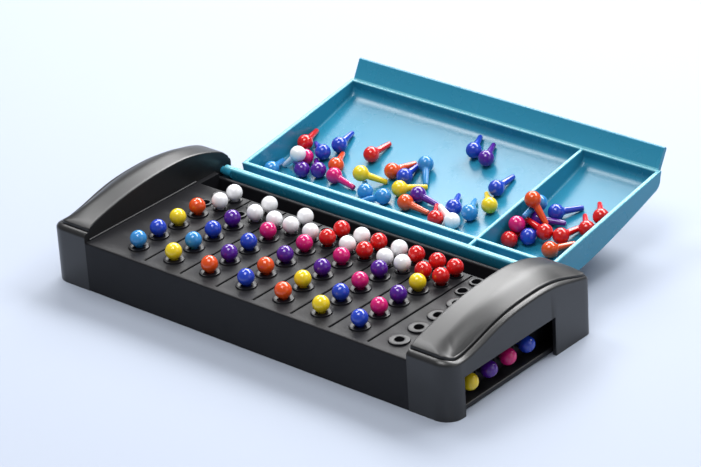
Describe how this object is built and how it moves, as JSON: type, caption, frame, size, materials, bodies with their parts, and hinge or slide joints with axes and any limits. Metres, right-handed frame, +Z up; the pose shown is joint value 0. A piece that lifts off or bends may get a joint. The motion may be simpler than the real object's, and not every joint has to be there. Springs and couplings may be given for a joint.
{
  "type": "code breaking peg game",
  "caption": "Flat travel game case with a board of peg holes in columns, ball-headed pegs, arched end hoods, a code bay behind a side window and a hinged peg tray.",
  "frame": {"origin": "middle of the case's footprint, on the surface that it stands on", "axes": "+X along the case towards the hood with the code window, -Y is the front where the first row of holes is, +Z up"},
  "size_m": [0.151, 0.1244, 0.0294],
  "materials": {
    "case_plastic": "fine satin texture, near-black grey",
    "tray_plastic": "smooth moulded teal blue",
    "peg_yellow": "glossy",
    "peg_orange": "glossy",
    "peg_red": "glossy",
    "peg_pink": "glossy",
    "peg_purple": "glossy",
    "peg_blue": "glossy",
    "peg_light_blue": "glossy",
    "peg_white": "glossy"
  },
  "bodies": {
    "case": {"main_case": "case_plastic", "bottom_cover": "case_plastic", "left_hood": "case_plastic", "right_hood": "case_plastic", "code_panel": "case_plastic"},
    "tray": {"tray": "tray_plastic"},
    "guess_peg_A1": {"guess_peg_A1": "peg_light_blue"},
    "guess_peg_A2": {"guess_peg_A2": "peg_blue"},
    "guess_peg_A3": {"guess_peg_A3": "peg_yellow"},
    "guess_peg_A4": {"guess_peg_A4": "peg_orange"},
    "key_peg_A_near_right": {"key_peg_A_near_right": "peg_white"},
    "key_peg_A_far_right": {"key_peg_A_far_right": "peg_white"},
    "guess_peg_B1": {"guess_peg_B1": "peg_yellow"},
    "guess_peg_B2": {"guess_peg_B2": "peg_light_blue"},
    "guess_peg_B3": {"guess_peg_B3": "peg_blue"},
    "guess_peg_B4": {"guess_peg_B4": "peg_purple"},
    "key_peg_B_near_right": {"key_peg_B_near_right": "peg_white"},
    "key_peg_B_far_right": {"key_peg_B_far_right": "peg_white"},
    "guess_peg_C1": {"guess_peg_C1": "peg_orange"},
    "guess_peg_C2": {"guess_peg_C2": "peg_purple"},
    "guess_peg_C3": {"guess_peg_C3": "peg_blue"},
    "guess_peg_C4": {"guess_peg_C4": "peg_pink"},
    "key_peg_C_near_left": {"key_peg_C_near_left": "peg_white"},
    "key_peg_C_near_right": {"key_peg_C_near_right": "peg_white"},
    "key_peg_C_far_right": {"key_peg_C_far_right": "peg_white"},
    "guess_peg_D1": {"guess_peg_D1": "peg_blue"},
    "guess_peg_D2": {"guess_peg_D2": "peg_orange"},
    "guess_peg_D3": {"guess_peg_D3": "peg_purple"},
    "guess_peg_D4": {"guess_peg_D4": "peg_pink"},
    "key_peg_D_near_left": {"key_peg_D_near_left": "peg_white"},
    "key_peg_D_near_right": {"key_peg_D_near_right": "peg_red"},
    "key_peg_D_far_right": {"key_peg_D_far_right": "peg_red"},
    "guess_peg_E1": {"guess_peg_E1": "peg_orange"},
    "guess_peg_E2": {"guess_peg_E2": "peg_yellow"},
    "guess_peg_E3": {"guess_peg_E3": "peg_purple"},
    "guess_peg_E4": {"guess_peg_E4": "peg_pink"},
    "key_peg_E_near_left": {"key_peg_E_near_left": "peg_white"},
    "key_peg_E_far_left": {"key_peg_E_far_left": "peg_white"},
    "key_peg_E_near_right": {"key_peg_E_near_right": "peg_red"},
    "key_peg_E_far_right": {"key_peg_E_far_right": "peg_red"},
    "guess_peg_F1": {"guess_peg_F1": "peg_yellow"},
    "guess_peg_F2": {"guess_peg_F2": "peg_blue"},
    "guess_peg_F3": {"guess_peg_F3": "peg_pink"},
    "guess_peg_F4": {"guess_peg_F4": "peg_purple"},
    "key_peg_F_near_left": {"key_peg_F_near_left": "peg_white"},
    "key_peg_F_far_left": {"key_peg_F_far_left": "peg_white"},
    "key_peg_F_near_right": {"key_peg_F_near_right": "peg_white"},
    "key_peg_F_far_right": {"key_peg_F_far_right": "peg_red"},
    "guess_peg_G1": {"guess_peg_G1": "peg_blue"},
    "guess_peg_G2": {"guess_peg_G2": "peg_pink"},
    "guess_peg_G3": {"guess_peg_G3": "peg_purple"},
    "guess_peg_G4": {"guess_peg_G4": "peg_yellow"},
    "key_peg_G_near_left": {"key_peg_G_near_left": "peg_red"},
    "key_peg_G_far_left": {"key_peg_G_far_left": "peg_red"},
    "key_peg_G_near_right": {"key_peg_G_near_right": "peg_red"},
    "key_peg_G_far_right": {"key_peg_G_far_right": "peg_red"},
    "secret_peg_1": {"secret_peg_1": "peg_yellow"},
    "secret_peg_2": {"secret_peg_2": "peg_purple"},
    "secret_peg_3": {"secret_peg_3": "peg_pink"},
    "secret_peg_4": {"secret_peg_4": "peg_blue"}
  },
  "joints": [
    {"name": "tray_hinge", "type": "hinge", "parent": "case", "child": "tray", "pos_m": [0, 0.02815, 0.0151], "axis": [-1, 0, 0], "range_deg": [-171, 0]},
    {"name": "guess_peg_A1_pull", "type": "slide", "parent": "case", "child": "guess_peg_A1", "axis": [0, 0, 1], "range_m": [0, 0.012]},
    {"name": "guess_peg_A2_pull", "type": "slide", "parent": "case", "child": "guess_peg_A2", "axis": [0, 0, 1], "range_m": [0, 0.012]},
    {"name": "guess_peg_A3_pull", "type": "slide", "parent": "case", "child": "guess_peg_A3", "axis": [0, 0, 1], "range_m": [0, 0.012]},
    {"name": "guess_peg_A4_pull", "type": "slide", "parent": "case", "child": "guess_peg_A4", "axis": [0, 0, 1], "range_m": [0, 0.012]},
    {"name": "key_peg_A_near_right_pull", "type": "slide", "parent": "case", "child": "key_peg_A_near_right", "axis": [0, 0, 1], "range_m": [0, 0.012]},
    {"name": "key_peg_A_far_right_pull", "type": "slide", "parent": "case", "child": "key_peg_A_far_right", "axis": [0, 0, 1], "range_m": [0, 0.012]},
    {"name": "guess_peg_B1_pull", "type": "slide", "parent": "case", "child": "guess_peg_B1", "axis": [0, 0, 1], "range_m": [0, 0.012]},
    {"name": "guess_peg_B2_pull", "type": "slide", "parent": "case", "child": "guess_peg_B2", "axis": [0, 0, 1], "range_m": [0, 0.012]},
    {"name": "guess_peg_B3_pull", "type": "slide", "parent": "case", "child": "guess_peg_B3", "axis": [0, 0, 1], "range_m": [0, 0.012]},
    {"name": "guess_peg_B4_pull", "type": "slide", "parent": "case", "child": "guess_peg_B4", "axis": [0, 0, 1], "range_m": [0, 0.012]},
    {"name": "key_peg_B_near_right_pull", "type": "slide", "parent": "case", "child": "key_peg_B_near_right", "axis": [0, 0, 1], "range_m": [0, 0.012]},
    {"name": "key_peg_B_far_right_pull", "type": "slide", "parent": "case", "child": "key_peg_B_far_right", "axis": [0, 0, 1], "range_m": [0, 0.012]},
    {"name": "guess_peg_C1_pull", "type": "slide", "parent": "case", "child": "guess_peg_C1", "axis": [0, 0, 1], "range_m": [0, 0.012]},
    {"name": "guess_peg_C2_pull", "type": "slide", "parent": "case", "child": "guess_peg_C2", "axis": [0, 0, 1], "range_m": [0, 0.012]},
    {"name": "guess_peg_C3_pull", "type": "slide", "parent": "case", "child": "guess_peg_C3", "axis": [0, 0, 1], "range_m": [0, 0.012]},
    {"name": "guess_peg_C4_pull", "type": "slide", "parent": "case", "child": "guess_peg_C4", "axis": [0, 0, 1], "range_m": [0, 0.012]},
    {"name": "key_peg_C_near_left_pull", "type": "slide", "parent": "case", "child": "key_peg_C_near_left", "axis": [0, 0, 1], "range_m": [0, 0.012]},
    {"name": "key_peg_C_near_right_pull", "type": "slide", "parent": "case", "child": "key_peg_C_near_right", "axis": [0, 0, 1], "range_m": [0, 0.012]},
    {"name": "key_peg_C_far_right_pull", "type": "slide", "parent": "case", "child": "key_peg_C_far_right", "axis": [0, 0, 1], "range_m": [0, 0.012]},
    {"name": "guess_peg_D1_pull", "type": "slide", "parent": "case", "child": "guess_peg_D1", "axis": [0, 0, 1], "range_m": [0, 0.012]},
    {"name": "guess_peg_D2_pull", "type": "slide", "parent": "case", "child": "guess_peg_D2", "axis": [0, 0, 1], "range_m": [0, 0.012]},
    {"name": "guess_peg_D3_pull", "type": "slide", "parent": "case", "child": "guess_peg_D3", "axis": [0, 0, 1], "range_m": [0, 0.012]},
    {"name": "guess_peg_D4_pull", "type": "slide", "parent": "case", "child": "guess_peg_D4", "axis": [0, 0, 1], "range_m": [0, 0.012]},
    {"name": "key_peg_D_near_left_pull", "type": "slide", "parent": "case", "child": "key_peg_D_near_left", "axis": [0, 0, 1], "range_m": [0, 0.012]},
    {"name": "key_peg_D_near_right_pull", "type": "slide", "parent": "case", "child": "key_peg_D_near_right", "axis": [0, 0, 1], "range_m": [0, 0.012]},
    {"name": "key_peg_D_far_right_pull", "type": "slide", "parent": "case", "child": "key_peg_D_far_right", "axis": [0, 0, 1], "range_m": [0, 0.012]},
    {"name": "guess_peg_E1_pull", "type": "slide", "parent": "case", "child": "guess_peg_E1", "axis": [0, 0, 1], "range_m": [0, 0.012]},
    {"name": "guess_peg_E2_pull", "type": "slide", "parent": "case", "child": "guess_peg_E2", "axis": [0, 0, 1], "range_m": [0, 0.012]},
    {"name": "guess_peg_E3_pull", "type": "slide", "parent": "case", "child": "guess_peg_E3", "axis": [0, 0, 1], "range_m": [0, 0.012]},
    {"name": "guess_peg_E4_pull", "type": "slide", "parent": "case", "child": "guess_peg_E4", "axis": [0, 0, 1], "range_m": [0, 0.012]},
    {"name": "key_peg_E_near_left_pull", "type": "slide", "parent": "case", "child": "key_peg_E_near_left", "axis": [0, 0, 1], "range_m": [0, 0.012]},
    {"name": "key_peg_E_far_left_pull", "type": "slide", "parent": "case", "child": "key_peg_E_far_left", "axis": [0, 0, 1], "range_m": [0, 0.012]},
    {"name": "key_peg_E_near_right_pull", "type": "slide", "parent": "case", "child": "key_peg_E_near_right", "axis": [0, 0, 1], "range_m": [0, 0.012]},
    {"name": "key_peg_E_far_right_pull", "type": "slide", "parent": "case", "child": "key_peg_E_far_right", "axis": [0, 0, 1], "range_m": [0, 0.012]},
    {"name": "guess_peg_F1_pull", "type": "slide", "parent": "case", "child": "guess_peg_F1", "axis": [0, 0, 1], "range_m": [0, 0.012]},
    {"name": "guess_peg_F2_pull", "type": "slide", "parent": "case", "child": "guess_peg_F2", "axis": [0, 0, 1], "range_m": [0, 0.012]},
    {"name": "guess_peg_F3_pull", "type": "slide", "parent": "case", "child": "guess_peg_F3", "axis": [0, 0, 1], "range_m": [0, 0.012]},
    {"name": "guess_peg_F4_pull", "type": "slide", "parent": "case", "child": "guess_peg_F4", "axis": [0, 0, 1], "range_m": [0, 0.012]},
    {"name": "key_peg_F_near_left_pull", "type": "slide", "parent": "case", "child": "key_peg_F_near_left", "axis": [0, 0, 1], "range_m": [0, 0.012]},
    {"name": "key_peg_F_far_left_pull", "type": "slide", "parent": "case", "child": "key_peg_F_far_left", "axis": [0, 0, 1], "range_m": [0, 0.012]},
    {"name": "key_peg_F_near_right_pull", "type": "slide", "parent": "case", "child": "key_peg_F_near_right", "axis": [0, 0, 1], "range_m": [0, 0.012]},
    {"name": "key_peg_F_far_right_pull", "type": "slide", "parent": "case", "child": "key_peg_F_far_right", "axis": [0, 0, 1], "range_m": [0, 0.012]},
    {"name": "guess_peg_G1_pull", "type": "slide", "parent": "case", "child": "guess_peg_G1", "axis": [0, 0, 1], "range_m": [0, 0.012]},
    {"name": "guess_peg_G2_pull", "type": "slide", "parent": "case", "child": "guess_peg_G2", "axis": [0, 0, 1], "range_m": [0, 0.012]},
    {"name": "guess_peg_G3_pull", "type": "slide", "parent": "case", "child": "guess_peg_G3", "axis": [0, 0, 1], "range_m": [0, 0.012]},
    {"name": "guess_peg_G4_pull", "type": "slide", "parent": "case", "child": "guess_peg_G4", "axis": [0, 0, 1], "range_m": [0, 0.012]},
    {"name": "key_peg_G_near_left_pull", "type": "slide", "parent": "case", "child": "key_peg_G_near_left", "axis": [0, 0, 1], "range_m": [0, 0.012]},
    {"name": "key_peg_G_far_left_pull", "type": "slide", "parent": "case", "child": "key_peg_G_far_left", "axis": [0, 0, 1], "range_m": [0, 0.012]},
    {"name": "key_peg_G_near_right_pull", "type": "slide", "parent": "case", "child": "key_peg_G_near_right", "axis": [0, 0, 1], "range_m": [0, 0.012]},
    {"name": "key_peg_G_far_right_pull", "type": "slide", "parent": "case", "child": "key_peg_G_far_right", "axis": [0, 0, 1], "range_m": [0, 0.012]},
    {"name": "secret_peg_1_pull", "type": "slide", "parent": "case", "child": "secret_peg_1", "axis": [1, 0, 0], "range_m": [0, 0.012]},
    {"name": "secret_peg_2_pull", "type": "slide", "parent": "case", "child": "secret_peg_2", "axis": [1, 0, 0], "range_m": [0, 0.012]},
    {"name": "secret_peg_3_pull", "type": "slide", "parent": "case", "child": "secret_peg_3", "axis": [1, 0, 0], "range_m": [0, 0.012]},
    {"name": "secret_peg_4_pull", "type": "slide", "parent": "case", "child": "secret_peg_4", "axis": [1, 0, 0], "range_m": [0, 0.012]}
  ]
}
